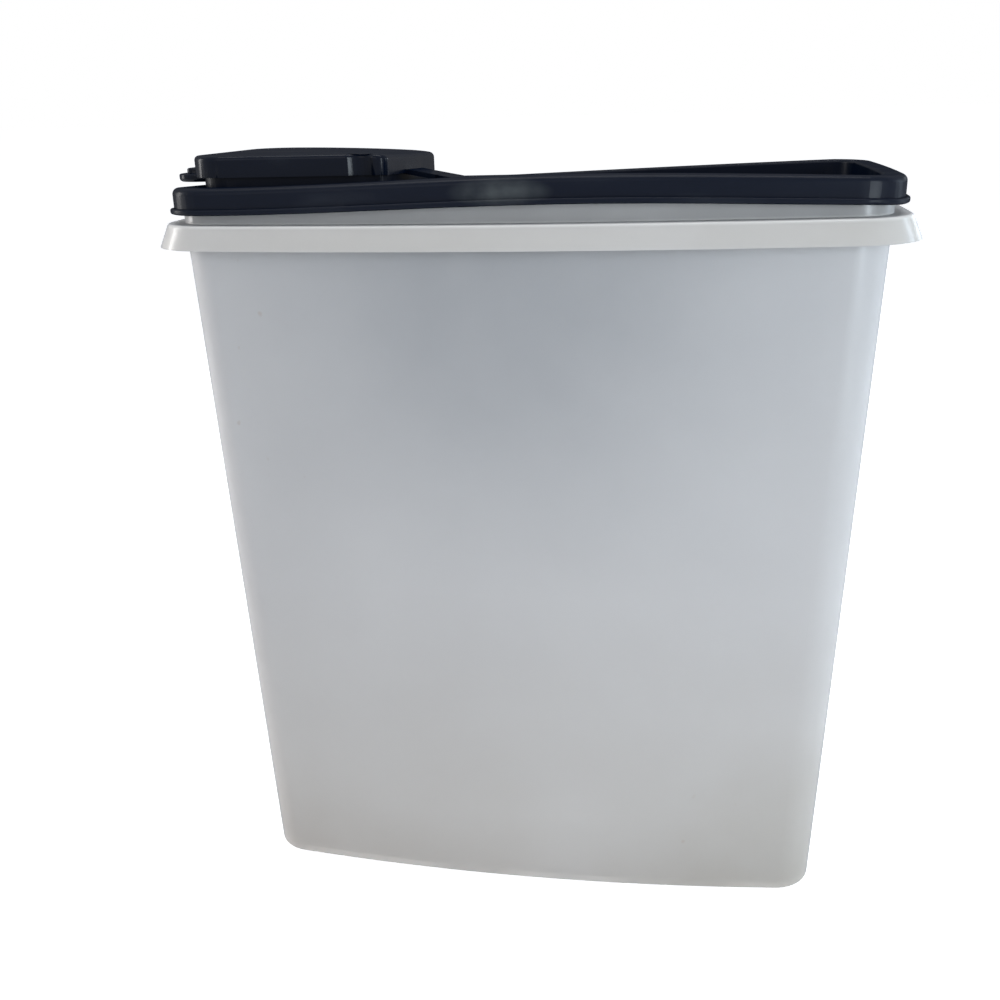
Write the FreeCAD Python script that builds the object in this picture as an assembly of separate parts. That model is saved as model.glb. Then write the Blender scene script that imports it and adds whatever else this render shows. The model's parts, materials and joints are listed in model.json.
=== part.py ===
import FreeCAD, Part
import math
import os

# Food keeper: a tall drafted tub with bowed walls and a skirted carrying flange, a soft
# press-on lid with a sunk panel, and a flip cap over the lid's pouring spout.
# Millimetres. Origin: centre of the base on the table, +Z up, spout at the -X end.

# Tub
BASE_LENGTH = 211.0
BASE_DEPTH = 91.8
NECK_LENGTH = 229.6
NECK_DEPTH = 99.8
SHELF_Z = 246.5
NECK_HEIGHT = 9.6
WALL = 1.8
LONG_BOW_RADIUS = 850.0
END_BOW_RADIUS = 800.0
CORNER_RADIUS = 14.0
FOOT_RADIUS = 1.5
FOOT_INNER_RADIUS = 1.2
PUSH_UP = 2.0
PUSH_UP_INSET = 9.0
PUSH_UP_SLOPE = 3.0
LIP_BEAD = 0.85
LIP_BEAD_HEIGHT = 2.0
LIP_EDGE_RADIUS = 0.4

# Carrying flange: a shelf round the neck with a flared skirt, open underneath
FLANGE_REACH = 5.6
FLANGE_FLARE = 3.3
FLANGE_DROP = 7.5
FLANGE_EDGE_RADIUS = 1.2

# Lid
LID_WALL = 1.8
RIM_CLEARANCE = 0.35
NECK_SHOWN = 3.0
RECESS_DEPTH = 8.5
RECESS_RADIUS = 1.5
LID_EDGE_RADIUS = 2.2
LID_INNER_RADIUS = 0.9
LID_BEAD = 1.3
LID_BEAD_HEIGHT = 1.9
LID_BEAD_RADIUS = 0.7

# Flip cap
CAP_FRONT_X = -111.3
CAP_REAR_X = -42.5
CAP_WIDTH = 75.0
CAP_HEIGHT = 6.8
CAP_WALL = 1.8
CAP_FRONT_RADIUS = 14.0
CAP_REAR_RADIUS = 3.5
CAP_EDGE_RADIUS = 1.5
CAP_LIFT = 2.7
WAIST_REAR_GAP = 4.2
WAIST_LENGTH = 8.6
WAIST_DEPTH = 0.9

# Spout collar under the cap
COLLAR_CLEARANCE = 0.6
COLLAR_WALL = 1.8
COLLAR_EDGE_RADIUS = 0.5
COLLAR_LEAST_CORNER = 1.0

# Thumb tab on the cap's front
TAB_WIDTH = 40.0
TAB_REACH = 12.2
TAB_HEIGHT = 2.6
TAB_DROP = 2.2
TAB_PLAN_RADIUS = 9.0
TAB_EDGE_RADIUS = 1.2
TAB_TOP_RADIUS = 0.6
STEP_WIDTH = 30.0
STEP_REACH = 9.2
STEP_HEIGHT = 1.8
STEP_PLAN_RADIUS = 3.0
STEP_EDGE_RADIUS = 0.7

# Strap hinge: a leaf on the cap, and a leaf with a pad and two snap studs on the lid
STRAP_WIDTH = 24.0
STRAP_THICKNESS = 1.6
STRAP_SLOPE_DEG = 11.0
CAP_LEAF_LENGTH = 10.5
CAP_LEAF_RISE = 1.3
HINGE_GAP = 0.3
LID_LEAF_LENGTH = 9.0
STRAP_DIP_DEG = 36.0
PAD_LENGTH = 14.0
STRAP_BEND_RADIUS = 3.0
STUD_RADIUS = 2.4
STUD_CLEARANCE = 0.1
STUD_SPACING = 12.0
STUD_HEAD_RADIUS = 3.4
STUD_HEAD_HEIGHT = 1.2

# Places worked out from the sizes above
RIM_Z = SHELF_Z + NECK_HEIGHT
LID_TOP_Z = RIM_Z + LID_WALL
LID_BOTTOM_Z = SHELF_Z + NECK_SHOWN
PANEL_TOP_Z = LID_TOP_Z - RECESS_DEPTH
PANEL_BOTTOM_Z = PANEL_TOP_Z - LID_WALL
LID_IN = LIP_BEAD + RIM_CLEARANCE
LID_OUT = LID_IN + LID_WALL
PLUG_OUT = -(WALL + RIM_CLEARANCE)
PLUG_IN = PLUG_OUT - LID_WALL
SKIRT_Z = LID_TOP_Z + CAP_LIFT
CAP_TOP_Z = SKIRT_Z + CAP_HEIGHT
COLLAR_TOP_Z = CAP_TOP_Z - CAP_WALL
COLLAR_OUT = -(CAP_WALL + COLLAR_CLEARANCE)
COLLAR_IN = COLLAR_OUT - COLLAR_WALL
HINGE_X = CAP_REAR_X + CAP_LEAF_LENGTH
HINGE_Z = SKIRT_Z + CAP_LEAF_RISE - CAP_LEAF_LENGTH * math.tan(math.radians(STRAP_SLOPE_DEG))

CUT_PAST = 1.0


def at(point, z):
    """A plan point (x, y) lifted to height z."""
    return FreeCAD.Vector(point[0], point[1], z)


def bowed_wire(length, depth, grow, z):
    """Rounded rectangle whose four sides are shallow arcs, grown outward by an exact offset."""
    long_r = LONG_BOW_RADIUS + grow
    end_r = END_BOW_RADIUS + grow
    corner_r = CORNER_RADIUS + grow
    back = (0.0, depth / 2 - LONG_BOW_RADIUS)
    side = (length / 2 - END_BOW_RADIUS, 0.0)
    span = math.hypot(side[0] - back[0], side[1] - back[1])
    reach_back = LONG_BOW_RADIUS - CORNER_RADIUS
    reach_side = END_BOW_RADIUS - CORNER_RADIUS
    along = (reach_back ** 2 - reach_side ** 2 + span ** 2) / (2 * span)
    across = math.sqrt(reach_back ** 2 - along ** 2)
    ux = (side[0] - back[0]) / span
    uy = (side[1] - back[1]) / span
    corner = (back[0] + ux * along + uy * across, back[1] + uy * along - ux * across)
    back_angle = math.atan2(corner[1] - back[1], corner[0] - back[0])
    side_angle = math.atan2(corner[1] - side[1], corner[0] - side[0])
    middle_angle = (back_angle + side_angle) / 2

    def polar(centre, radius, angle):
        return (centre[0] + radius * math.cos(angle), centre[1] + radius * math.sin(angle))

    on_side = polar(side, end_r, side_angle)
    on_corner = polar(corner, corner_r, middle_angle)
    on_back = polar(back, long_r, back_angle)
    apex_side = (length / 2 + grow, 0.0)
    apex_back = (0.0, depth / 2 + grow)

    def flip(point, sx, sy):
        return (point[0] * sx, point[1] * sy)

    arcs = [
        (flip(on_side, 1, -1), apex_side, on_side),
        (on_side, on_corner, on_back),
        (on_back, apex_back, flip(on_back, -1, 1)),
        (flip(on_back, -1, 1), flip(on_corner, -1, 1), flip(on_side, -1, 1)),
        (flip(on_side, -1, 1), flip(apex_side, -1, 1), flip(on_side, -1, -1)),
        (flip(on_side, -1, -1), flip(on_corner, -1, -1), flip(on_back, -1, -1)),
        (flip(on_back, -1, -1), flip(apex_back, 1, -1), flip(on_back, 1, -1)),
        (flip(on_back, 1, -1), flip(on_corner, 1, -1), flip(on_side, 1, -1)),
    ]
    return Part.Wire([Part.Arc(at(a, z), at(b, z), at(c, z)).toShape() for a, b, c in arcs])


def tub_wire(grow, z):
    """Outline of the drafted wall at height z, below the shelf."""
    share = z / SHELF_Z
    length = BASE_LENGTH + (NECK_LENGTH - BASE_LENGTH) * share
    depth = BASE_DEPTH + (NECK_DEPTH - BASE_DEPTH) * share
    return bowed_wire(length, depth, grow, z)


def neck_wire(grow, z):
    """Outline of the upright neck, which the flange and the lid follow."""
    return bowed_wire(NECK_LENGTH, NECK_DEPTH, grow, z)


def dent_wire(grow, z):
    """Outline of the base's pushed-up middle at height z, narrowing upward."""
    return bowed_wire(BASE_LENGTH, BASE_DEPTH, grow - PUSH_UP_INSET - PUSH_UP_SLOPE * z / PUSH_UP, z)


def cap_wire(grow, z):
    """Outline of the flip cap: rounded rectangle with a shallow waist in each long side."""
    front = CAP_FRONT_X - grow
    rear = CAP_REAR_X + grow
    half = CAP_WIDTH / 2 + grow
    front_r = CAP_FRONT_RADIUS + grow
    rear_r = CAP_REAR_RADIUS + grow
    waist_x = CAP_REAR_X - WAIST_REAR_GAP - WAIST_LENGTH / 2
    waist_r = (WAIST_LENGTH ** 2 / 4 + WAIST_DEPTH ** 2) / (2 * WAIST_DEPTH)
    low = half - WAIST_DEPTH
    chord = math.sqrt((waist_r - grow) ** 2 - (waist_r - grow - WAIST_DEPTH) ** 2)
    diagonal = 1 - math.sqrt(0.5)

    def side(sy):
        """Corner, flat, waist, flat and corner along one long side, from front to rear."""
        yield "line", (front, 0.0), (front, sy * (half - front_r))
        yield ("arc", (front, sy * (half - front_r)),
               (front + front_r * diagonal, sy * (half - front_r * diagonal)), (front + front_r, sy * half))
        yield "line", (front + front_r, sy * half), (waist_x - chord, sy * half)
        yield "arc", (waist_x - chord, sy * half), (waist_x, sy * low), (waist_x + chord, sy * half)
        yield "line", (waist_x + chord, sy * half), (rear - rear_r, sy * half)
        yield ("arc", (rear - rear_r, sy * half),
               (rear - rear_r * diagonal, sy * (half - rear_r * diagonal)), (rear, sy * (half - rear_r)))
        yield "line", (rear, sy * (half - rear_r)), (rear, 0.0)

    edges = []
    for sy in (-1, 1):
        for kind, *points in side(sy):
            lifted = [at(p, z) for p in points]
            if kind == "arc":
                edges.append(Part.Arc(*lifted).toShape())
            else:
                edges.append(Part.LineSegment(*lifted).toShape())
    return Part.Wire(Part.sortEdges(edges)[0])


def collar_wire(grow, z):
    """Outline of the spout collar: a plain rounded rectangle that keeps clear of the cap's waist."""
    front = CAP_FRONT_X - grow
    rear = CAP_REAR_X + grow
    half = CAP_WIDTH / 2 - WAIST_DEPTH + grow
    front_r = max(CAP_FRONT_RADIUS + grow, COLLAR_LEAST_CORNER)
    rear_r = max(CAP_REAR_RADIUS + grow, COLLAR_LEAST_CORNER)
    diagonal = 1 - math.sqrt(0.5)
    edges = []
    for sy in (-1, 1):
        front_on_side = (front + front_r, sy * half)
        rear_on_side = (rear - rear_r, sy * half)
        front_on_end = (front, sy * (half - front_r))
        rear_on_end = (rear, sy * (half - rear_r))
        front_middle = (front + front_r * diagonal, sy * (half - front_r * diagonal))
        rear_middle = (rear - rear_r * diagonal, sy * (half - rear_r * diagonal))
        edges.append(Part.LineSegment(at(front_on_side, z), at(rear_on_side, z)).toShape())
        edges.append(Part.Arc(at(front_on_end, z), at(front_middle, z), at(front_on_side, z)).toShape())
        edges.append(Part.Arc(at(rear_on_end, z), at(rear_middle, z), at(rear_on_side, z)).toShape())
    for x, r in ((front, front_r), (rear, rear_r)):
        edges.append(Part.LineSegment(at((x, r - half), z), at((x, half - r), z)).toShape())
    return Part.Wire(Part.sortEdges(edges)[0])


def prism(wire, height):
    """Upright solid on a closed plan outline."""
    return Part.Face(wire).extrude(FreeCAD.Vector(0, 0, height))


def ruled(lower, upper):
    """Solid with straight drafted walls between two plan outlines."""
    return Part.makeLoft([lower, upper], True, True)


def edges_at(shape, z):
    """Edges that lie flat at height z."""
    return [e for e in shape.Edges if all(abs(v.Z - z) < 1e-4 for v in e.Vertexes)]


def rounded(shape, radius, *heights):
    """The solid with its flat edges at the given heights rounded."""
    for z in heights:
        shape = shape.makeFillet(radius, edges_at(shape, z))
    return shape


def tongue(reach, width, z_range, tip_radius):
    """Plate that sticks out of the cap's front wall, with its two tip corners rounded in plan."""
    tip_x = CAP_FRONT_X - reach
    corner = FreeCAD.Vector(tip_x, -width / 2, z_range[0])
    block = Part.makeBox(reach + CAP_WALL / 2, width, z_range[1] - z_range[0], corner)
    upright = [e for e in block.Edges if abs(e.BoundBox.ZLength - block.BoundBox.ZLength) < 1e-4]
    return block.makeFillet(tip_radius, [e for e in upright if abs(e.CenterOfMass.x - tip_x) < 1e-4])


def make_tub():
    """One moulding: drafted body with a pushed-up base, upright neck with a lip bead, and flange."""
    body = rounded(ruled(tub_wire(0, 0), tub_wire(0, SHELF_Z)), FOOT_RADIUS, 0)
    neck = prism(neck_wire(0, SHELF_Z), NECK_HEIGHT)
    lip = prism(neck_wire(LIP_BEAD, RIM_Z - LIP_BEAD_HEIGHT), LIP_BEAD_HEIGHT)
    lip = rounded(lip, LIP_EDGE_RADIUS, RIM_Z, RIM_Z - LIP_BEAD_HEIGHT)

    flange_z = SHELF_Z - FLANGE_DROP
    flange = ruled(neck_wire(FLANGE_REACH + FLANGE_FLARE, flange_z), neck_wire(FLANGE_REACH, SHELF_Z))
    flange = rounded(flange, FLANGE_EDGE_RADIUS, SHELF_Z)
    hollow = ruled(neck_wire(FLANGE_REACH + FLANGE_FLARE - WALL, flange_z),
                   neck_wire(FLANGE_REACH - WALL, SHELF_Z - WALL))
    shape = flange.cut(hollow).fuse([body, neck, lip])

    cavity = rounded(ruled(tub_wire(-WALL, WALL), tub_wire(-WALL, SHELF_Z)), FOOT_INNER_RADIUS, WALL)
    mouth = prism(neck_wire(-WALL, SHELF_Z), NECK_HEIGHT + CUT_PAST)
    shape = shape.cut(cavity.fuse(mouth))

    crown = ruled(dent_wire(WALL, 0), dent_wire(WALL, PUSH_UP))
    crown.translate(FreeCAD.Vector(0, 0, WALL))
    dent = ruled(dent_wire(0, 0), dent_wire(0, PUSH_UP))
    return shape.fuse(crown).cut(dent).removeSplitter()


def make_lid():
    """One soft moulding: rim channel over the tub's lip, sunk panel and pouring spout."""
    height = LID_TOP_Z - LID_BOTTOM_Z
    rim = rounded(prism(neck_wire(LID_OUT, LID_BOTTOM_Z), height), LID_EDGE_RADIUS, LID_TOP_Z)
    bead = prism(neck_wire(LID_OUT + LID_BEAD, LID_BOTTOM_Z), LID_BEAD_HEIGHT)
    bead = rounded(bead, LID_BEAD_RADIUS, LID_BOTTOM_Z, LID_BOTTOM_Z + LID_BEAD_HEIGHT)
    channel = prism(neck_wire(LID_IN, LID_BOTTOM_Z - CUT_PAST), RIM_Z - LID_BOTTOM_Z + CUT_PAST)
    plug = prism(neck_wire(PLUG_OUT, PANEL_BOTTOM_Z), RIM_Z - PANEL_BOTTOM_Z)
    shape = rim.fuse(bead).cut(channel).fuse(plug)

    recess = prism(neck_wire(PLUG_IN, PANEL_TOP_Z), RECESS_DEPTH + CUT_PAST)
    shape = shape.cut(rounded(recess, RECESS_RADIUS, PANEL_TOP_Z))
    shape = rounded(shape, LID_INNER_RADIUS, LID_TOP_Z)

    collar_height = COLLAR_TOP_Z - PANEL_BOTTOM_Z
    collar = prism(collar_wire(COLLAR_OUT, PANEL_BOTTOM_Z), collar_height)
    collar = rounded(collar, COLLAR_EDGE_RADIUS, COLLAR_TOP_Z)
    bore = prism(collar_wire(COLLAR_IN, PANEL_BOTTOM_Z - CUT_PAST), collar_height + 2 * CUT_PAST)
    shape = shape.fuse(collar).cut(bore)
    for x, y in stud_places():
        hole = Part.makeCylinder(STUD_RADIUS + STUD_CLEARANCE, LID_WALL + 2 * CUT_PAST,
                                 at((x, y), PANEL_BOTTOM_Z - CUT_PAST))
        shape = shape.cut(hole)
    return shape.removeSplitter()


def make_cap():
    """One moulding: shallow cap with a thumb tab in front and a hinge leaf behind."""
    shell = rounded(prism(cap_wire(0, SKIRT_Z), CAP_HEIGHT), CAP_EDGE_RADIUS, CAP_TOP_Z)
    inside = prism(cap_wire(-CAP_WALL, SKIRT_Z - CUT_PAST), COLLAR_TOP_Z - SKIRT_Z + CUT_PAST)

    tab_z = SKIRT_Z - TAB_DROP
    step_z = tab_z + TAB_HEIGHT
    top_z = step_z + STEP_HEIGHT
    tab = tongue(TAB_REACH, TAB_WIDTH, (tab_z, step_z), TAB_PLAN_RADIUS)
    tab = rounded(rounded(tab, TAB_EDGE_RADIUS, tab_z), TAB_TOP_RADIUS, step_z)
    step = tongue(STEP_REACH, STEP_WIDTH, (step_z - TAB_TOP_RADIUS, top_z), STEP_PLAN_RADIUS)
    step = rounded(step, STEP_EDGE_RADIUS, top_z)

    slope = math.tan(math.radians(STRAP_SLOPE_DEG))
    root_x = CAP_REAR_X - CAP_WALL / 2
    tip_x = HINGE_X - HINGE_GAP / 2
    leaf = strap_solid([(x, HINGE_Z + (HINGE_X - x) * slope) for x in (root_x, tip_x)])
    return shell.fuse([tab, step, leaf]).cut(inside).removeSplitter()


def strap_solid(top_line):
    """Band of even thickness under a bent line of (x, z) points, square at both ends."""
    lower = []
    for i, (x, z) in enumerate(top_line):
        before = top_line[max(i - 1, 0)]
        after = top_line[min(i + 1, len(top_line) - 1)]
        legs = [(before, (x, z)), ((x, z), after)]
        turn = [math.atan2(q[1] - p[1], q[0] - p[0]) for p, q in legs if p != q]
        mid = sum(turn) / len(turn)
        depth = STRAP_THICKNESS / math.cos((turn[-1] - turn[0]) / 2)
        lower.append((x + depth * math.sin(mid), z - depth * math.cos(mid)))
    outline = top_line + lower[::-1]
    points = [FreeCAD.Vector(x, -STRAP_WIDTH / 2, z) for x, z in outline]
    return Part.Face(Part.makePolygon(points + points[:1])).extrude(FreeCAD.Vector(0, STRAP_WIDTH, 0))


def strap_line():
    """Top line of the lid's leaf: gentle slope, dip to the panel, flat pad."""
    slope = math.tan(math.radians(STRAP_SLOPE_DEG))
    dip = math.tan(math.radians(STRAP_DIP_DEG))
    start = (HINGE_X + HINGE_GAP / 2, HINGE_Z - HINGE_GAP / 2 * slope)
    bend = (start[0] + LID_LEAF_LENGTH, start[1] - LID_LEAF_LENGTH * slope)
    pad_z = PANEL_TOP_Z + STRAP_THICKNESS
    pad = (bend[0] + (bend[1] - pad_z) / dip, pad_z)
    return [start, bend, pad, (pad[0] + PAD_LENGTH, pad_z)]


def stud_places():
    """Plan places of the two snap studs in the strap's pad."""
    line = strap_line()
    x = (line[2][0] + line[3][0]) / 2
    return [(x, -STUD_SPACING / 2), (x, STUD_SPACING / 2)]


def make_strap():
    """The strap's fixed leaf, bent down to a pad on the panel and held by two headed studs."""
    line = strap_line()
    band = strap_solid(line)
    bends = [e for e in band.Edges if abs(e.BoundBox.YLength - STRAP_WIDTH) < 1e-4
             and line[0][0] + LID_LEAF_LENGTH / 2 < e.CenterOfMass.x < line[3][0] - PAD_LENGTH / 2]
    shape = band.makeFillet(STRAP_BEND_RADIUS, bends)
    for x, y in stud_places():
        shank = Part.makeCylinder(STUD_RADIUS, LID_WALL + STRAP_THICKNESS / 2, at((x, y), PANEL_BOTTOM_Z))
        head = Part.makeCone(STUD_RADIUS, STUD_HEAD_RADIUS, STUD_HEAD_HEIGHT,
                             at((x, y), PANEL_BOTTOM_Z - STUD_HEAD_HEIGHT))
        shape = shape.fuse([shank, head])
    return shape.removeSplitter()


def main():
    os.makedirs("parts", exist_ok=True)
    nodes = {
        "container_tub": make_tub(),
        "lid_seal": make_lid(),
        "flip_cap": make_cap(),
        "hinge_strap": make_strap(),
    }
    for name, shape in nodes.items():
        solid = shape.Solids[0]
        box = solid.BoundBox
        ends = [round(v, 2) for v in (box.XMin, box.XMax, box.YMin, box.YMax, box.ZMin, box.ZMax)]
        print(name, "solids", len(shape.Solids), "valid", solid.isValid(), "box", ends)
        solid.exportStep("parts/" + name + ".step")
    print("hinge axis", round(HINGE_X, 3), round(HINGE_Z, 3), "panel", round(PANEL_TOP_Z, 2))


main()
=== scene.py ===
import json
import logging
import math
from dataclasses import dataclass
from enum import Enum

import bmesh
import bpy
from mathutils import Matrix, Vector


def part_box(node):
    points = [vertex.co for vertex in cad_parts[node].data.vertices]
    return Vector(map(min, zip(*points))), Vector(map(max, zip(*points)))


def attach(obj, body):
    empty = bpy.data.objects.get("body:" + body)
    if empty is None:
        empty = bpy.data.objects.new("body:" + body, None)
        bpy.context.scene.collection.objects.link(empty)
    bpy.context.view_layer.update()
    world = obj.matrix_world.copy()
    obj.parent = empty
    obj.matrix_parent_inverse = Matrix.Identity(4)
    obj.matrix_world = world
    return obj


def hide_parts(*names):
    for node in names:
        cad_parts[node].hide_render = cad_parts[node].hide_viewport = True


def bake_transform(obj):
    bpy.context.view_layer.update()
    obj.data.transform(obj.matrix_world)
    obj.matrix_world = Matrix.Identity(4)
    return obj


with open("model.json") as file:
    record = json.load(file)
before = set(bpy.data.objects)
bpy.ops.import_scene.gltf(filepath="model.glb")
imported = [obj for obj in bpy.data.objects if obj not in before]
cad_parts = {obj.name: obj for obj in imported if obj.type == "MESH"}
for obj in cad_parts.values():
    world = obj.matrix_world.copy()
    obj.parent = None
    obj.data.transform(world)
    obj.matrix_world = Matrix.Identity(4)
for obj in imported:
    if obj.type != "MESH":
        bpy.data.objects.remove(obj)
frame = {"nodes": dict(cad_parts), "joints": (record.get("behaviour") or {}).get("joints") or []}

MM = 0.001
LOG = logging.getLogger("keeper")
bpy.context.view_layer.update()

Colour = tuple[float, float, float]
Place = tuple[float, float, float]
Span = tuple[float, float]


class Body(Enum):
    """The bodies of the keeper that move apart."""

    TUB = "tub"
    LID = "lid"
    CAP = "cap"


class Slot(Enum):
    """The record's two mouldings by material."""

    FROSTED = "frosted_plastic"
    DARK = "dark_plastic"


def smooth_step(low: float, high: float, value: float) -> float:
    """Ease from 0 at low to 1 at high.

    Args:
        low: Value at which the result leaves 0.
        high: Value at which the result reaches 1.
        value: The value that is eased.

    Returns:
        A share from 0 to 1.
    """
    share = min(max((value - low) / (high - low), 0.0), 1.0)
    return share * share * (3.0 - 2.0 * share)


@dataclass(frozen=True)
class LooseFit:
    """How the soft lid sits on the neck: pressed home behind, sprung up along the front.

    All sizes are metres in the keeper's frame.
    """

    front_rise: float = 2.6 * MM
    front_middle: float = 18.0 * MM
    front_half_span: float = 128.0 * MM
    front_from: float = -40.0 * MM
    front_to: float = -47.0 * MM
    back_drop: float = -3.0 * MM
    back_lift: float = 0.8 * MM
    back_drop_until: float = -15.0 * MM
    back_lift_from: float = 105.0 * MM
    back_from: float = -40.0 * MM
    back_to: float = 51.0 * MM

    def front(self, x: float) -> float:
        """Rise of the front rim above its seat, an arch along the front side."""
        turn = (x - self.front_middle) / self.front_half_span
        return self.front_rise * math.cos(min(abs(turn), 1.0) * math.pi / 2) ** 2

    def back(self, x: float) -> float:
        """Height of the back rim over its even seat: low at the spout half, sprung at the far end.

        Args:
            x: Place along the keeper.

        Returns:
            Height in z, under 0 where the rim is pressed down.
        """
        share = (x - self.back_drop_until) / (self.back_lift_from - self.back_drop_until)
        share = min(max(share, 0.0), 1.0)
        return self.back_drop + (self.back_lift - self.back_drop) * share

    def back_share(self, y: float) -> float:
        """How much of the back rim's height a point takes, by its depth."""
        return min(max((y - self.back_from) / (self.back_to - self.back_from), 0.0), 1.0)

    def lid(self, x: float, y: float) -> float:
        """Shift of a point of the lid.

        Args:
            x: Place along the keeper.
            y: Place in depth, front negative.

        Returns:
            Shift in z.
        """
        return self.front(x) * smooth_step(self.front_from, self.front_to, y) + self.back(x) * self.back_share(y)

    def neck(self, x: float, y: float) -> float:
        """Shift of a point of the tub's lip, which only gives way where the lid is down on it."""
        return min(self.back(x), 0.0) * self.back_share(y)


@dataclass(frozen=True)
class FrostedFinish:
    """Milky translucent moulding, darker and warmer towards the foot, with painted shade under the middle of the
    lid, on the neck top, low at the right end and along edges seen edge on, and a painted highlight on the shelf
    top.
    """

    name: str = "frosted_polyethylene"
    # Colour by height: darker and warmer towards the foot, a painted highlight on the shelf top at 246.4 to
    # 246.6 mm where the lid shades it, and painted shade on the neck above it, under the lid's skirt.
    milk_and_painted_light_by_height: tuple[tuple[float, Colour], ...] = (
        (0.0, (0.50, 0.47, 0.44)),
        (30.0 * MM, (0.57, 0.55, 0.53)),
        (120.0 * MM, (0.60, 0.595, 0.60)),
        (238.4 * MM, (0.59, 0.595, 0.61)),
        (239.0 * MM, (0.54, 0.53, 0.51)),
        (245.8 * MM, (0.54, 0.53, 0.51)),
        (246.4 * MM, (0.82, 0.82, 0.81)),
        (246.6 * MM, (0.82, 0.82, 0.81)),
        (247.2 * MM, (0.37, 0.375, 0.38)),
    )
    # Painted shade: the wall under the middle of the dark lid is darkened towards this colour.
    lid_shade: Colour = (0.38, 0.395, 0.42)
    shade_heights: Span = (120.0 * MM, 236.0 * MM)
    shade_widths: Span = (112.0 * MM, 30.0 * MM)
    body_ends: Span = (238.4 * MM, 239.0 * MM)
    # Painted shade: darkens the foot at the right end of the tub.
    foot_shade: Colour = (0.36, 0.33, 0.28)
    foot_heights: Span = (70.0 * MM, 0.0)
    foot_widths: Span = (20.0 * MM, 110.0 * MM)
    # Painted shade: darkens the surface where it is seen edge on, giving a dark outline along the silhouette.
    rim_shade: Colour = (0.36, 0.38, 0.43)
    rim_share: float = 0.85
    rim_glance: Span = (0.72, 0.95)
    skin_facing: float = 0.42
    skin_glance: Span = (0.60, 0.97)
    skin_rough: float = 0.22
    cloud: Colour = (0.72, 0.72, 0.725)
    cloud_share: float = 0.30
    speck: Colour = (0.45, 0.38, 0.33)
    speck_share: float = 0.6
    speck_levels: Span = (0.76, 0.82)
    patch_levels: Span = (0.58, 0.66)
    clear_share: float = 0.42
    gleam: float = 0.28
    index: float = 1.5
    rough_low: float = 0.48
    rough_high: float = 0.62
    cloud_scale: float = 14.0
    streak_scale: float = 90.0
    grain_scale: float = 1500.0
    streak_bump: Span = (0.05, 0.4 * MM)
    grain_bump: Span = (0.12, 0.05 * MM)
    speck_scale: float = 170.0
    speck_patch_scale: float = 16.0

    def material(self) -> bpy.types.Material:
        """Make the node material of the tub.

        Returns:
            The material.
        """
        graph = NodeGraph(self.name)
        # Height colour, with the painted highlight on the shelf top and the painted shade on the neck.
        colour = graph.height_colour(self.milk_and_painted_light_by_height)
        # Painted shade on the body wall under the lid: strongest high up at the middle, none at the ends, low
        # down or on the flange.
        below_lid = graph.spread(graph.axis("Z"), 0.0, 1.0, *self.shade_heights)
        at_middle = graph.spread(graph.size_of(graph.axis("X")), 0.0, 1.0, *self.shade_widths)
        on_body = graph.spread(graph.axis("Z"), 1.0, 0.0, *self.body_ends)
        shade = graph.product(graph.product(below_lid, at_middle), on_body)
        colour = graph.blend_colours(shade, colour, self.lid_shade)
        # Painted shade low down at the right end of the foot.
        near_foot = graph.spread(graph.axis("Z"), 0.0, 1.0, *self.foot_heights)
        far_end = graph.spread(graph.axis("X"), 0.0, 1.0, *self.foot_widths)
        colour = graph.blend_colours(graph.product(near_foot, far_end), colour, self.foot_shade)
        clouds = graph.noise(self.cloud_scale, detail=4.0)
        colour = graph.blend_colours(graph.spread(clouds, 0.0, self.cloud_share), colour, self.cloud)
        specks = graph.spread(graph.noise(self.speck_scale, detail=1.0), 0.0, 1.0, *self.speck_levels)
        patches = graph.noise(self.speck_patch_scale, detail=0.0)
        patches = graph.spread(patches, 0.0, self.speck_share, *self.patch_levels)
        colour = graph.blend_colours(graph.product(specks, patches), colour, self.speck)
        # Painted shade where the surface is seen edge on.
        edge_on = graph.glance()
        rim = graph.spread(edge_on, 0.0, self.rim_share, *self.rim_glance)
        colour = graph.blend_colours(rim, colour, self.rim_shade)
        graph.feed("Base Color", colour)
        graph.feed("Coat Weight", graph.spread(edge_on, self.skin_facing, 0.0, *self.skin_glance))
        graph.set("Coat Roughness", self.skin_rough)
        streaks = graph.noise(self.streak_scale, detail=3.0, stretch=(1.0, 1.0, 0.03))
        graph.feed("Roughness", graph.spread(streaks, self.rough_low, self.rough_high))
        grain = graph.noise(self.grain_scale, detail=2.0)
        graph.bump("Normal", (streaks, *self.streak_bump), (grain, *self.grain_bump))
        graph.set("Transmission Weight", self.clear_share)
        graph.set("Specular IOR Level", self.gleam)
        graph.set("IOR", self.index)
        return graph.material


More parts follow.
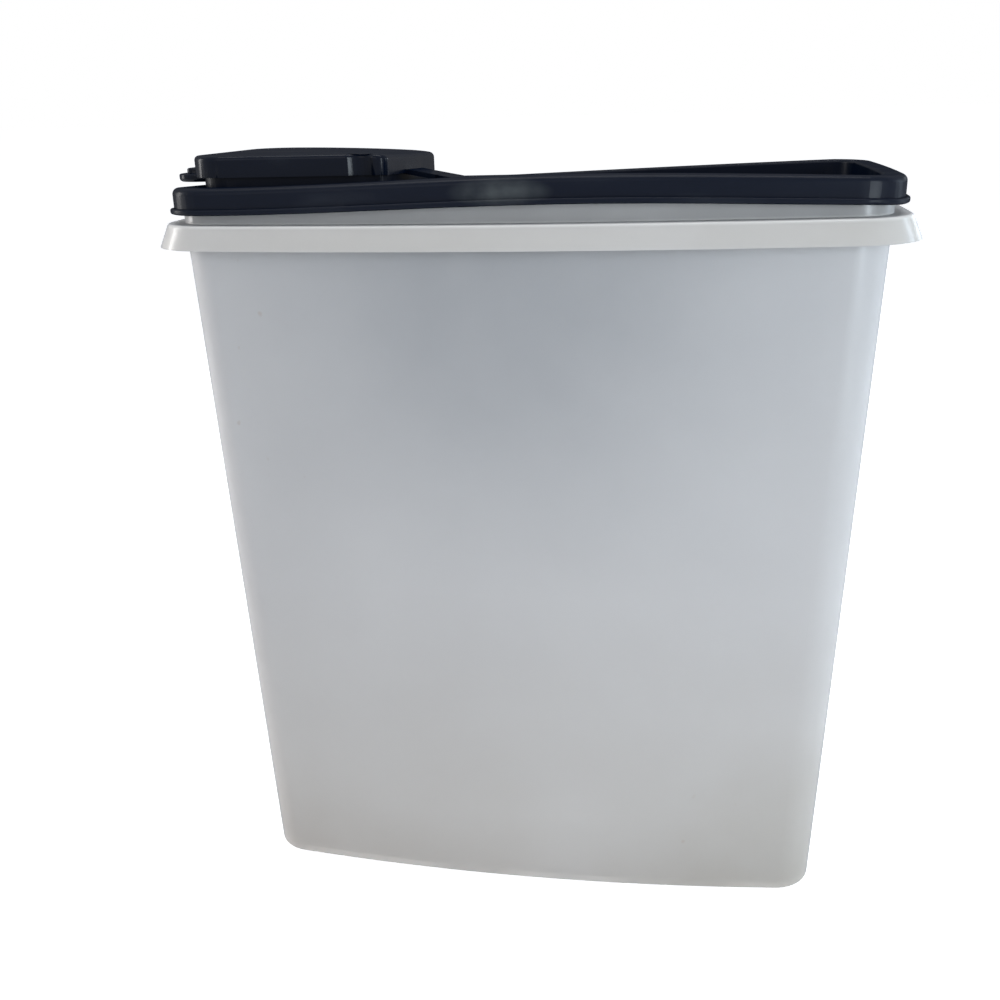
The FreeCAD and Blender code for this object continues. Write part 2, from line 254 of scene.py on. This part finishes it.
@dataclass(frozen=True)
class DarkFinish:
    """Blue-black soft moulding with a thin satin skin, handling scuffs and a fine orange peel."""

    name: str
    ink: Colour = (0.0013, 0.0035, 0.0100)
    worn: Colour = (0.009, 0.012, 0.019)
    worn_levels: Span = (0.56, 0.76)
    body_rough: float = 0.6
    skin_facing: float = 0.22
    skin_glancing: float = 0.05
    skin_glance: Span = (0.55, 0.92)
    skin_index: float = 1.5
    skin_rough_low: float = 0.17
    skin_rough_high: float = 0.32
    # A lighter blotchy patch on the lid's near front wall.
    pale_patch: Colour = (0.085, 0.096, 0.10)
    pale_patch_middle: Place = (-4.0 * MM, -52.0 * MM, 255.8 * MM)
    pale_patch_half: Place = (17.0 * MM, 6.0 * MM, 4.6 * MM)
    pale_patch_share: float = 0.0
    pale_patch_least: float = 0.35
    pale_patch_scale: float = 130.0
    scuff_scale: float = 60.0
    peel_scale: float = 420.0
    grain_scale: float = 1800.0
    peel_bump: Span = (0.10, 0.12 * MM)
    grain_bump: Span = (0.08, 0.04 * MM)

    def material(self) -> bpy.types.Material:
        """Make the node material of a dark moulding.

        Returns:
            The material.
        """
        graph = NodeGraph(self.name)
        scuffs = graph.noise(self.scuff_scale, detail=6.0, stretch=(0.35, 1.0, 1.6))
        worn = graph.spread(scuffs, 0.0, 1.0, *self.worn_levels)
        colour = graph.blend_colours(worn, self.ink, self.worn)
        # A lighter blotchy patch on the lid's near front wall, drawn when its share is over 0.
        if self.pale_patch_share > 0.0:
            mottle = graph.spread(graph.noise(self.pale_patch_scale, detail=3.0), self.pale_patch_least, 1.0)
            away = graph.distance_from(self.pale_patch_middle, self.pale_patch_half)
            near = graph.spread(away, self.pale_patch_share, 0.0, 0.0, 1.0)
            colour = graph.blend_colours(graph.product(mottle, near), colour, self.pale_patch)
        graph.feed("Base Color", colour)
        graph.feed("Coat Roughness", graph.spread(scuffs, self.skin_rough_low, self.skin_rough_high))
        peel = graph.noise(self.peel_scale, detail=2.0)
        grain = graph.noise(self.grain_scale, detail=1.0)
        graph.bump("Coat Normal", (peel, *self.peel_bump), (grain, *self.grain_bump))
        graph.set("Roughness", self.body_rough)
        graph.set("Specular IOR Level", 0.0)
        skin = graph.spread(graph.glance(), self.skin_facing, self.skin_glancing, *self.skin_glance)
        graph.feed("Coat Weight", skin)
        graph.set("Coat IOR", self.skin_index)
        return graph.material


class NodeGraph:
    """A Principled material that is fed step by step from Object coordinates."""

    def __init__(self, name: str) -> None:
        """Start a material.

        Args:
            name: The material's name.
        """
        self.material = bpy.data.materials.new(name)
        self.material.use_nodes = True
        self.nodes = self.material.node_tree.nodes
        self.links = self.material.node_tree.links
        self.shader = self.nodes["Principled BSDF"]
        self.place = self.nodes.new("ShaderNodeTexCoord").outputs["Object"]

    def set(self, socket: str, value: float | tuple[float, ...]) -> None:
        """Set a constant on the shader's own socket."""
        self.shader.inputs[socket].default_value = value

    def feed(self, socket: str, source: bpy.types.NodeSocket) -> None:
        """Link a source to one of the shader's sockets."""
        self.links.new(source, self.shader.inputs[socket])

    def noise(self, scale: float, detail: float, stretch: Place = (1.0, 1.0, 1.0)) -> bpy.types.NodeSocket:
        """Add a noise on the object's coordinates.

        Args:
            scale: Features per metre.
            detail: Octaves of finer noise.
            stretch: Scale of each axis, under 1 for a pattern drawn out along it.

        Returns:
            The noise's value socket.
        """
        mapping = self.nodes.new("ShaderNodeMapping")
        mapping.inputs["Scale"].default_value = stretch
        self.links.new(self.place, mapping.inputs["Vector"])
        noise = self.nodes.new("ShaderNodeTexNoise")
        noise.inputs["Scale"].default_value = scale
        noise.inputs["Detail"].default_value = detail
        self.links.new(mapping.outputs["Vector"], noise.inputs["Vector"])
        return noise.outputs["Fac"]

    def spread(self, source: bpy.types.NodeSocket, low: float, high: float,
               from_low: float = 0.3, from_high: float = 0.7) -> bpy.types.NodeSocket:
        """Map a value's working range onto another range.

        Args:
            source: The value.
            low: Result at from_low.
            high: Result at from_high.
            from_low: Low end of the value's range.
            from_high: High end of the value's range.

        Returns:
            The mapped value socket.
        """
        node = self.nodes.new("ShaderNodeMapRange")
        node.inputs["From Min"].default_value = from_low
        node.inputs["From Max"].default_value = from_high
        node.inputs["To Min"].default_value = low
        node.inputs["To Max"].default_value = high
        self.links.new(source, node.inputs["Value"])
        return node.outputs["Result"]

    def axis(self, name: str) -> bpy.types.NodeSocket:
        """One axis of the object's coordinates.

        Args:
            name: X, Y or Z.

        Returns:
            The coordinate's socket.
        """
        split = self.nodes.new("ShaderNodeSeparateXYZ")
        self.links.new(self.place, split.inputs["Vector"])
        return split.outputs[name]

    def size_of(self, source: bpy.types.NodeSocket) -> bpy.types.NodeSocket:
        """A value without its sign.

        Args:
            source: The value.

        Returns:
            The unsigned value's socket.
        """
        node = self.nodes.new("ShaderNodeMath")
        node.operation = "ABSOLUTE"
        self.links.new(source, node.inputs[0])
        return node.outputs["Value"]

    def distance_from(self, middle: Place, half: Place) -> bpy.types.NodeSocket:
        """Distance from a place, counted in half sizes along each axis.

        Args:
            middle: The place.
            half: Half sizes at which the distance reaches 1.

        Returns:
            The distance socket.
        """
        mapping = self.nodes.new("ShaderNodeMapping")
        mapping.inputs["Location"].default_value = tuple(-m / h for m, h in zip(middle, half))
        mapping.inputs["Scale"].default_value = tuple(1.0 / h for h in half)
        self.links.new(self.place, mapping.inputs["Vector"])
        length = self.nodes.new("ShaderNodeVectorMath")
        length.operation = "LENGTH"
        self.links.new(mapping.outputs["Vector"], length.inputs[0])
        return length.outputs["Value"]

    def glance(self) -> bpy.types.NodeSocket:
        """Share that is 0 where the surface faces the eye and 1 where it is seen edge on.

        Returns:
            The share's socket.
        """
        node = self.nodes.new("ShaderNodeLayerWeight")
        node.inputs["Blend"].default_value = 0.5
        return node.outputs["Facing"]

    def product(self, first: bpy.types.NodeSocket, second: bpy.types.NodeSocket) -> bpy.types.NodeSocket:
        """Multiply two values.

        Args:
            first: One value.
            second: The other value.

        Returns:
            The product's socket.
        """
        node = self.nodes.new("ShaderNodeMath")
        node.operation = "MULTIPLY"
        self.links.new(first, node.inputs[0])
        self.links.new(second, node.inputs[1])
        return node.outputs["Value"]

    def height_colour(self, stops: tuple[tuple[float, Colour], ...]) -> bpy.types.NodeSocket:
        """Colour by height.

        Args:
            stops: Heights in metres from low to high, each with its colour.

        Returns:
            The colour socket.
        """
        low, high = stops[0][0], stops[-1][0]
        ramp = self.nodes.new("ShaderNodeValToRGB")
        marks = ramp.color_ramp.elements
        marks[0].color = (*stops[0][1], 1.0)
        marks[-1].color = (*stops[-1][1], 1.0)
        for height, colour in stops[1:-1]:
            marks.new((height - low) / (high - low)).color = (*colour, 1.0)
        self.links.new(self.spread(self.axis("Z"), 0.0, 1.0, low, high), ramp.inputs["Fac"])
        return ramp.outputs["Color"]

    def blend_colours(self, share: bpy.types.NodeSocket, first: Colour | bpy.types.NodeSocket,
                      second: Colour) -> bpy.types.NodeSocket:
        """Mix two colours by a share.

        Args:
            share: 0 for the first colour, 1 for the second.
            first: A colour or a colour socket.
            second: A colour.

        Returns:
            The mixed colour socket.
        """
        node = self.nodes.new("ShaderNodeMix")
        node.data_type = "RGBA"
        self.links.new(share, node.inputs["Factor"])
        colours = [socket for socket in node.inputs if socket.type == "RGBA"]
        if isinstance(first, bpy.types.NodeSocket):
            self.links.new(first, colours[0])
        else:
            colours[0].default_value = (*first, 1.0)
        colours[1].default_value = (*second, 1.0)
        return [socket for socket in node.outputs if socket.type == "RGBA"][0]

    def bump(self, socket: str, *layers: tuple[bpy.types.NodeSocket, float, float]) -> None:
        """Chain bump layers into one of the shader's normals.

        Args:
            socket: The shader's normal socket.
            layers: Each a height socket, a strength and a depth in metres.
        """
        normal = None
        for height, strength, depth in layers:
            node = self.nodes.new("ShaderNodeBump")
            node.inputs["Strength"].default_value = strength
            node.inputs["Distance"].default_value = depth
            self.links.new(height, node.inputs["Height"])
            if normal is not None:
                self.links.new(normal, node.inputs["Normal"])
            normal = node.outputs["Normal"]
        self.feed(socket, normal)


@dataclass
class Moulding:
    """A piece that follows one solid of the frame, eased to the loose fit of the soft lid."""

    node: str
    piece: str
    body: Body
    slot: Slot
    finish: FrostedFinish | DarkFinish
    fit: LooseFit
    cut_step: float = 8.0 * MM
    crease: float = math.radians(42.0)
    weld: float = 0.002 * MM
    pair_angle: float = math.radians(0.6)

    def shift(self, place: Vector) -> Vector:
        """How far a point of this piece stands from the solid."""
        return Vector((0.0, 0.0, 0.0))

    def cut_from(self) -> float:
        """Height above which the mesh is cut fine enough to bend."""
        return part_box(self.node)[0].z - self.cut_step

    def merged_copy(self) -> bmesh.types.BMesh:
        """Copy the solid's loose triangles, weld them and pair them into quads.

        Returns:
            The new mesh, which the caller frees.
        """
        mesh = bmesh.new()
        mesh.from_mesh(frame["nodes"][self.node].data)
        bmesh.ops.remove_doubles(mesh, verts=mesh.verts, dist=self.weld)
        bmesh.ops.join_triangles(mesh, faces=mesh.faces, angle_face_threshold=self.pair_angle,
                                 angle_shape_threshold=math.pi)
        return mesh

    def cut_fine(self, mesh: bmesh.types.BMesh) -> None:
        """Cut the part that bends into even strips both ways.

        Args:
            mesh: The mesh that is cut in place.
        """
        low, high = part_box(self.node)
        floor = self.cut_from()
        for axis in (0, 1):
            normal = Vector((1.0, 0.0, 0.0)) if axis == 0 else Vector((0.0, 1.0, 0.0))
            strips = max(int((high[axis] - low[axis]) / self.cut_step), 1)
            for i in range(1, strips):
                middle = low[axis] + (high[axis] - low[axis]) * i / strips
                faces = [f for f in mesh.faces if max(v.co.z for v in f.verts) > floor]
                edges = list({e for f in faces for e in f.edges})
                verts = list({v for f in faces for v in f.verts})
                bmesh.ops.bisect_plane(mesh, geom=verts + edges + faces, dist=self.weld,
                                       plane_co=normal * middle, plane_no=normal)

    def build(self) -> bpy.types.Object:
        """Make the piece, dress it and hang it on its body.

        Returns:
            The finished object.
        """
        mesh = self.merged_copy()
        self.cut_fine(mesh)
        for vert in mesh.verts:
            vert.co += self.shift(vert.co)
        data = bpy.data.meshes.new(self.piece)
        mesh.to_mesh(data)
        mesh.free()
        data.shade_smooth()
        data.set_sharp_from_angle(angle=self.crease)
        data.materials.append(self.finish.material())
        piece = bpy.data.objects.new(self.piece, data)
        bpy.context.scene.collection.objects.link(piece)
        weigh = piece.modifiers.new("even_faces", "WEIGHTED_NORMAL")
        weigh.keep_sharp = True
        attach(piece, self.body.value)
        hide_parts(self.node)
        LOG.info("%s: %d faces on body %s", piece.name, len(data.polygons), self.body.value)
        return piece


@dataclass
class Tub(Moulding):
    """The drafted tub, whose lip gives way a little under the pressed-down back of the lid."""

    shelf_z: float = 246.5 * MM
    ease: float = 3.0 * MM

    def cut_from(self) -> float:
        """Only the neck bends."""
        return self.shelf_z + self.weld

    def shift(self, place: Vector) -> Vector:
        """Lower the lip, and nothing at or under the shelf."""
        share = smooth_step(self.shelf_z, self.shelf_z + self.ease, place.z)
        return Vector((0.0, 0.0, self.fit.neck(place.x, place.y) * share))


@dataclass
class Lid(Moulding):
    """The lid seal with its rim, sunk panel and spout collar, or the strap that is studded to it."""

    cut_step: float = 3.0 * MM

    def shift(self, place: Vector) -> Vector:
        """Follow the loose fit."""
        return Vector((0.0, 0.0, self.fit.lid(place.x, place.y)))


@dataclass
class Cap(Moulding):
    """The flip cap, which follows the lid at its hinge, lies level at its thumb tab and has a nipped waist."""

    front_x: float = -111.3 * MM
    rear_x: float = -42.5 * MM
    waist_x: float = -51.0 * MM
    waist_half: float = 4.3 * MM
    waist_nip: float = 0.9 * MM
    skin_y: float = 36.2 * MM
    droop: float = 0.6 * MM
    droop_from: float = -52.0 * MM
    roof_low: float = 261.5 * MM
    roof_high: float = 266.5 * MM
    cut_step: float = 1.2 * MM

    def shift(self, place: Vector) -> Vector:
        """Fade the lid's lean from hinge to tab, draw the skin in at the waist and round the roof off behind.

        Args:
            place: A point of the solid.

        Returns:
            The point's shift.
        """
        share = min(max((place.x - self.front_x) / (self.rear_x - self.front_x), 0.0), 1.0)
        turn = min(abs(place.x - self.waist_x) / self.waist_half, 1.0)
        nip = self.waist_nip * math.cos(turn * math.pi / 2) if abs(place.y) > self.skin_y else 0.0
        behind = min(max((place.x - self.droop_from) / (self.rear_x - self.droop_from), 0.0), 1.0)
        sag = self.droop * behind ** 2 * smooth_step(self.roof_low, self.roof_high, place.z)
        return Vector((0.0, -math.copysign(nip, place.y), self.fit.neck(place.x, place.y) * share ** 2 - sag))


@dataclass
class HingeWeb:
    """The thin flexing line between the strap's two leaves."""

    finish: DarkFinish
    fit: LooseFit
    piece: str = "hinge_web"
    width: float = 23.4 * MM
    reach: float = 1.1 * MM
    thickness: float = 0.7 * MM
    depth: float = 0.12 * MM
    slope: float = math.radians(11.0)
    strips: int = 12
    edge: float = 0.15 * MM
    edge_segments: int = 2
    crease: float = math.radians(40.0)

    def axis_place(self) -> Vector:
        """Where the cap's hinge joint has its axis."""
        joint = next(j for j in frame["joints"] if j["name"] == "cap_flip")
        return Vector(joint["pos_m"])

    def build(self) -> bpy.types.Object:
        """Make the web and bend it between the lid and the cap.

        Returns:
            The finished object.
        """
        axis = self.axis_place()
        mesh = bmesh.new()
        bmesh.ops.create_cube(mesh, size=1.0)
        size = Matrix.Diagonal((2 * self.reach, self.width, self.thickness, 1.0))
        bmesh.ops.transform(mesh, matrix=size, verts=mesh.verts)
        long_edges = [e for e in mesh.edges if abs(e.verts[0].co.y - e.verts[1].co.y) > self.width / 2]
        bmesh.ops.bevel(mesh, geom=long_edges, offset=self.edge, affect="EDGES", segments=self.edge_segments,
                        profile=0.5, material=-1)
        for i in range(1, self.strips):
            x = self.reach * (2 * i / self.strips - 1)
            bmesh.ops.bisect_plane(mesh, geom=list(mesh.verts) + list(mesh.edges) + list(mesh.faces),
                                   dist=self.edge / 100, plane_co=(x, 0.0, 0.0), plane_no=(1.0, 0.0, 0.0))
        sink = Matrix.Translation((0.0, 0.0, -self.depth - self.thickness / 2))
        place = Matrix.Translation(axis) @ Matrix.Rotation(self.slope, 4, "Y") @ sink
        bmesh.ops.transform(mesh, matrix=place, verts=mesh.verts)
        for vert in mesh.verts:
            vert.co.z += self.fit.lid(vert.co.x, vert.co.y)
        data = bpy.data.meshes.new(self.piece)
        mesh.to_mesh(data)
        mesh.free()
        data.shade_smooth()
        data.set_sharp_from_angle(angle=self.crease)
        data.materials.append(self.finish.material())
        piece = bpy.data.objects.new(self.piece, data)
        bpy.context.scene.collection.objects.link(piece)
        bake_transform(piece)
        LOG.info("%s: %d faces between lid and cap", piece.name, len(data.polygons))
        return piece


@dataclass(frozen=True)
class PhotoCamera:
    """The photograph's camera, from a fit of the tub's edges in its 1000 by 1000 frame."""

    frame_px: float = 1000.0
    focal_px: float = 1087.69
    sensor_mm: float = 36.0
    place: Place = (0.0494013, -0.3870972, 0.2800568)
    yaw: float = -0.1656
    pitch: float = -0.3471
    roll: float = -0.0287
    clip_start: float = 0.01

    def build(self) -> bpy.types.Object:
        """Make the camera and look through it.

        Returns:
            The camera object.
        """
        ahead = Vector((math.sin(self.yaw) * math.cos(self.pitch), math.cos(self.yaw) * math.cos(self.pitch),
                        math.sin(self.pitch)))
        level = Vector((math.cos(self.yaw), -math.sin(self.yaw), 0.0))
        upright = level.cross(ahead)
        right = math.cos(self.roll) * level + math.sin(self.roll) * upright
        up = math.cos(self.roll) * upright - math.sin(self.roll) * level
        data = bpy.data.cameras.new("photo_camera")
        data.sensor_width = self.sensor_mm
        data.lens = self.focal_px / self.frame_px * self.sensor_mm
        data.clip_start = self.clip_start
        camera = bpy.data.objects.new("photo_camera", data)
        turn = Matrix((right, up, -ahead)).transposed().to_4x4()
        camera.matrix_world = Matrix.Translation(self.place) @ turn
        bpy.context.scene.collection.objects.link(camera)
        bpy.context.scene.camera = camera
        return camera


@dataclass(frozen=True)
class Softbox:
    """A rectangular studio lamp aimed at the keeper."""

    name: str
    place: Place
    size: Span
    watts: float
    colour: Colour = (1.0, 1.0, 1.0)
    aim: Place = (0.0, 0.0, 0.15)

    def build(self) -> bpy.types.Object:
        """Make the lamp.

        Returns:
            The lamp object.
        """
        data = bpy.data.lights.new(self.name, "AREA")
        data.shape = "RECTANGLE"
        data.size, data.size_y = self.size
        data.energy = self.watts
        data.color = self.colour
        lamp = bpy.data.objects.new(self.name, data)
        lamp.location = self.place
        lamp.rotation_euler = (Vector(self.aim) - Vector(self.place)).to_track_quat("-Z", "Y").to_euler()
        bpy.context.scene.collection.objects.link(lamp)
        return lamp


@dataclass(frozen=True)
class Studio:
    """White floor and surround, with narrow lamps at the sides, a long one overhead and a soft front fill."""

    floor_half: float = 30.0
    floor_colour: Colour = (0.86, 0.86, 0.86)
    floor_glow: float = 0.68
    surround: Colour = (0.90, 0.93, 1.0)
    surround_strength: float = 0.42
    lamps: tuple[Softbox, ...] = (
        Softbox("window_right", (0.82, -0.72, 0.32), (0.24, 0.40), 6.6, (0.83, 0.93, 1.0)),
        Softbox("side_right", (1.00, 0.36, 0.36), (0.12, 0.45), 2.2, (0.72, 0.87, 1.0)),
        Softbox("back_right", (0.95, 1.35, 0.42), (0.50, 0.30), 3.5, (0.84, 0.92, 1.0)),
        Softbox("side_left", (-1.08, 0.12, 0.38), (0.18, 0.5), 4.2, (1.0, 0.98, 0.96)),
        Softbox("overhead", (0.0, -0.12, 1.20), (1.1, 0.26), 6.5),
        Softbox("front_fill", (-0.50, -1.45, 0.85), (1.2, 0.9), 3.9, (1.0, 0.97, 0.95)),
    )

    def build(self) -> None:
        """Make the floor, the surround and the lamps."""
        self.build_floor()
        self.build_surround()
        for lamp in self.lamps:
            lamp.build()
        bpy.context.scene.view_settings.view_transform = "Standard"

    def build_floor(self) -> None:
        """Make a pale floor that glows a little to the camera and keeps the keeper's shadow."""
        mesh = bmesh.new()
        bmesh.ops.create_grid(mesh, x_segments=1, y_segments=1, size=self.floor_half)
        data = bpy.data.meshes.new("floor")
        mesh.to_mesh(data)
        mesh.free()
        floor = bpy.data.objects.new("floor", data)
        bpy.context.scene.collection.objects.link(floor)
        material = bpy.data.materials.new("pale_floor")
        material.use_nodes = True
        nodes, links = material.node_tree.nodes, material.node_tree.links
        nodes.clear()
        matt = nodes.new("ShaderNodeBsdfDiffuse")
        matt.inputs["Color"].default_value = (*self.floor_colour, 1.0)
        glow = nodes.new("ShaderNodeEmission")
        links.new(self.seen(nodes, links, self.floor_glow), glow.inputs["Strength"])
        both = nodes.new("ShaderNodeAddShader")
        links.new(matt.outputs["BSDF"], both.inputs[0])
        links.new(glow.outputs["Emission"], both.inputs[1])
        out = nodes.new("ShaderNodeOutputMaterial")
        links.new(both.outputs["Shader"], out.inputs["Surface"])
        data.materials.append(material)

    def build_surround(self) -> None:
        """Light softly from all round, and show white to the camera and in reflections."""
        world = bpy.data.worlds.new("surround")
        bpy.context.scene.world = world
        world.use_nodes = True
        nodes, links = world.node_tree.nodes, world.node_tree.links
        nodes.clear()
        soft = nodes.new("ShaderNodeBackground")
        soft.inputs["Color"].default_value = (*self.surround, 1.0)
        soft.inputs["Strength"].default_value = self.surround_strength
        white = nodes.new("ShaderNodeBackground")
        white.inputs["Color"].default_value = (1.0, 1.0, 1.0, 1.0)
        mix = nodes.new("ShaderNodeMixShader")
        links.new(self.seen(nodes, links, 1.0), mix.inputs["Fac"])
        links.new(soft.outputs["Background"], mix.inputs[1])
        links.new(white.outputs["Background"], mix.inputs[2])
        out = nodes.new("ShaderNodeOutputWorld")
        links.new(mix.outputs["Shader"], out.inputs["Surface"])

    @staticmethod
    def seen(nodes: bpy.types.Nodes, links: bpy.types.NodeLinks, strength: float) -> bpy.types.NodeSocket:
        """Give a value to rays that come from the camera, a reflection or a clear wall.

        Args:
            nodes: The tree's nodes.
            links: The tree's links.
            strength: The value for those rays; others get 0.

        Returns:
            The value socket.
        """
        rays = nodes.new("ShaderNodeLightPath")
        total = rays.outputs["Is Camera Ray"]
        for name in ("Is Glossy Ray", "Is Transmission Ray"):
            most = nodes.new("ShaderNodeMath")
            most.operation = "MAXIMUM"
            links.new(total, most.inputs[0])
            links.new(rays.outputs[name], most.inputs[1])
            total = most.outputs["Value"]
        scale = nodes.new("ShaderNodeMath")
        scale.operation = "MULTIPLY"
        links.new(total, scale.inputs[0])
        scale.inputs[1].default_value = strength
        return scale.outputs["Value"]


def main() -> None:
    """Build the keeper, the studio and the camera in order."""
    logging.basicConfig(level=logging.INFO, format="%(message)s")
    fit = LooseFit()
    frosted = FrostedFinish()
    pieces = [
        Tub("container_tub", "tub_moulding", Body.TUB, Slot.FROSTED, frosted, fit),
        Lid("lid_seal", "lid_moulding", Body.LID, Slot.DARK,
            DarkFinish("lid_plastic", skin_rough_low=0.30, skin_rough_high=0.42, pale_patch_share=0.9), fit),
        Lid("hinge_strap", "strap_moulding", Body.LID, Slot.DARK, DarkFinish("strap_plastic"), fit),
        Cap("flip_cap", "cap_moulding", Body.CAP, Slot.DARK, DarkFinish("cap_plastic"), fit),
        HingeWeb(DarkFinish("web_plastic"), fit),
    ]
    for piece in pieces:
        piece.build()
    PhotoCamera().build()
    Studio().build()


if __name__ == "__main__":
    main()
